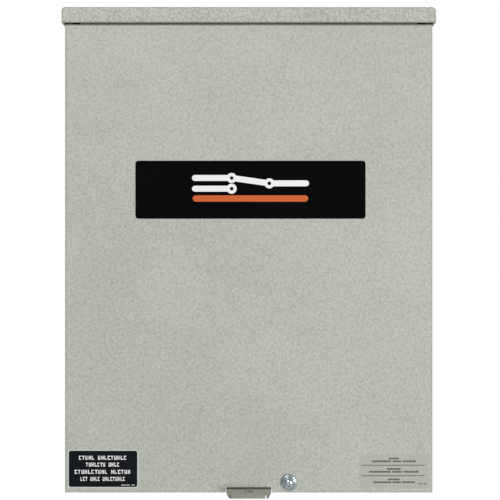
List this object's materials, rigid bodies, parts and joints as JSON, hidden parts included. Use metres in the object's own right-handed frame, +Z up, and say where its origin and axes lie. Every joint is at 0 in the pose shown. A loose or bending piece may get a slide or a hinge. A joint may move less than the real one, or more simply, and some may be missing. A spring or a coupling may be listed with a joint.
{
  "type": "transfer switch enclosure",
  "caption": "Outdoor wall box for a generator transfer switch: drip cap, top-hinged cover, hasp, captive screw, and a breaker, transfer rotor, coils and control board inside.",
  "frame": {"origin": "centre of the four wall-hole pattern, on the wall plane", "axes": "+Z up, +Y into the wall, the front cover faces -Y"},
  "size_m": [0.376, 0.2, 0.489],
  "materials": {
    "powder_coat": "fine textured powder coat, grey-beige",
    "galvanised_steel": "matt galvanised sheet",
    "zinc_steel": "bright zinc plate",
    "plain_steel": "turned steel, oiled",
    "foam_rubber": "closed-cell foam strip",
    "nameplate_black": "satin black printed plate",
    "label_dark": "dark printed film",
    "label_film": "pale printed film",
    "clear_polycarbonate": "clear polycarbonate sheet",
    "moulded_black": "moulded thermoset",
    "moulded_brown": "red-brown glass-polyester moulding",
    "toggle_white": "moulded nylon",
    "copper": "bare copper",
    "aluminium": "tin-plated aluminium",
    "vulcan_fibre": "grey vulcanised fibre",
    "coil_tape": "yellow coil tape",
    "nylon_white": "moulded nylon",
    "grip_red": "dipped red vinyl",
    "board_green": "solder-masked circuit board",
    "component_mixed": "moulded component cases",
    "fuse_ceramic": "ceramic fuse tubes",
    "wire_blue": "wire insulation"
  },
  "bodies": {
    "enclosure": {"enclosure_shell": "powder_coat", "enclosure_bottom": "powder_coat", "enclosure_top": "powder_coat", "drip_cap": "powder_coat", "hasp_plate": "galvanised_steel", "hasp_rivets": "zinc_steel", "cover_weld_nut": "zinc_steel", "hinge_leaf_fixed": "galvanised_steel", "hinge_pin": "plain_steel", "subpanel": "galvanised_steel", "shield_posts": "plain_steel", "panel_screws": "zinc_steel", "safety_shield": "clear_polycarbonate", "breaker_bracket": "galvanised_steel", "breaker_base": "moulded_black", "breaker_cover": "moulded_black", "utility_busbars": "copper", "switch_base": "moulded_brown", "side_frames": "zinc_steel", "utility_contacts": "copper", "generator_contacts": "copper", "load_jaws": "copper", "cable_lugs": "aluminium", "arc_chutes": "vulcan_fibre", "solenoid_frame": "zinc_steel", "solenoid_coils": "coil_tape", "limit_bracket": "zinc_steel", "limit_switches": "moulded_black", "control_bracket": "galvanised_steel", "control_board": "board_green", "board_components": "component_mixed", "fuse_block": "moulded_black", "fuses": "fuse_ceramic", "terminal_strip": "moulded_black", "neutral_bar": "aluminium", "bar_insulators": "moulded_brown", "ground_bar": "aluminium", "terminal_screws": "zinc_steel", "control_wires": "wire_blue"},
    "cover": {"front_cover": "powder_coat", "hinge_leaf_cover": "galvanised_steel", "cover_gasket": "foam_rubber", "nameplate": "nameplate_black", "label_left": "label_dark", "label_right": "label_film", "screw_retainer": "zinc_steel"},
    "screw_washer": {"captive_washer": "zinc_steel"},
    "cover_screw": {"captive_screw": "zinc_steel"},
    "breaker_lever": {"breaker_toggle": "toggle_white"},
    "transfer_rotor": {"rotor_shaft": "plain_steel", "rotor_insulators": "moulded_brown", "moving_contacts": "copper", "drive_crank": "plain_steel", "limit_cam": "nylon_white", "manual_handle": "zinc_steel", "handle_grip": "grip_red"},
    "solenoid_plunger": {"plunger_rod": "plain_steel"},
    "limit_upper": {"limit_plunger_upper": "nylon_white"},
    "limit_lower": {"limit_plunger_lower": "nylon_white"},
    "test_push": {"test_button": "grip_red"}
  },
  "joints": [
    {"name": "cover_hinge", "type": "hinge", "parent": "enclosure", "child": "cover", "pos_m": [0, -0.166, 0.2241], "axis": [-1, 0, 0], "range_deg": [0, 90]},
    {"name": "screw_travel", "type": "slide", "parent": "cover", "child": "screw_washer", "axis": [0, -1, 0], "range_m": [0, 0.004]},
    {"name": "screw_turn", "type": "hinge", "parent": "screw_washer", "child": "cover_screw", "pos_m": [0.0405, -0.172, -0.2345], "axis": [0, -1, 0], "range_deg": [0, 1361.1]},
    {"name": "breaker_toggle_turn", "type": "hinge", "parent": "enclosure", "child": "breaker_lever", "pos_m": [-0.015, -0.118, 0.1295], "axis": [1, 0, 0], "range_deg": [0, 40]},
    {"name": "rotor_turn", "type": "hinge", "parent": "enclosure", "child": "transfer_rotor", "pos_m": [0, -0.075, -0.09], "axis": [1, 0, 0], "range_deg": [0, 50]},
    {"name": "plunger_travel", "type": "slide", "parent": "enclosure", "child": "solenoid_plunger", "axis": [0, 0, -1], "range_m": [0, 0.0212]},
    {"name": "limit_upper_travel", "type": "slide", "parent": "enclosure", "child": "limit_upper", "axis": [0, 0, -1], "range_m": [0, 0.0017]},
    {"name": "limit_lower_travel", "type": "slide", "parent": "enclosure", "child": "limit_lower", "axis": [0, 0, -1], "range_m": [0, 0.0017]},
    {"name": "test_push_travel", "type": "slide", "parent": "enclosure", "child": "test_push", "axis": [0, 1, 0], "range_m": [0, 0.001], "stiffness_N_per_m": 300, "springref_m": -0.0005}
  ],
  "couplings": [
    {"joint": "screw_turn", "follows": "screw_travel", "rad_per_m": 5938.7},
    {"joint": "plunger_travel", "follows": "rotor_turn", "m_per_rad": 0.024214},
    {"joint": "limit_upper_travel", "follows": "rotor_turn", "m_per_rad": 0.0019371},
    {"joint": "limit_lower_travel", "follows": "rotor_turn", "m_per_rad": 0.0019371}
  ]
}
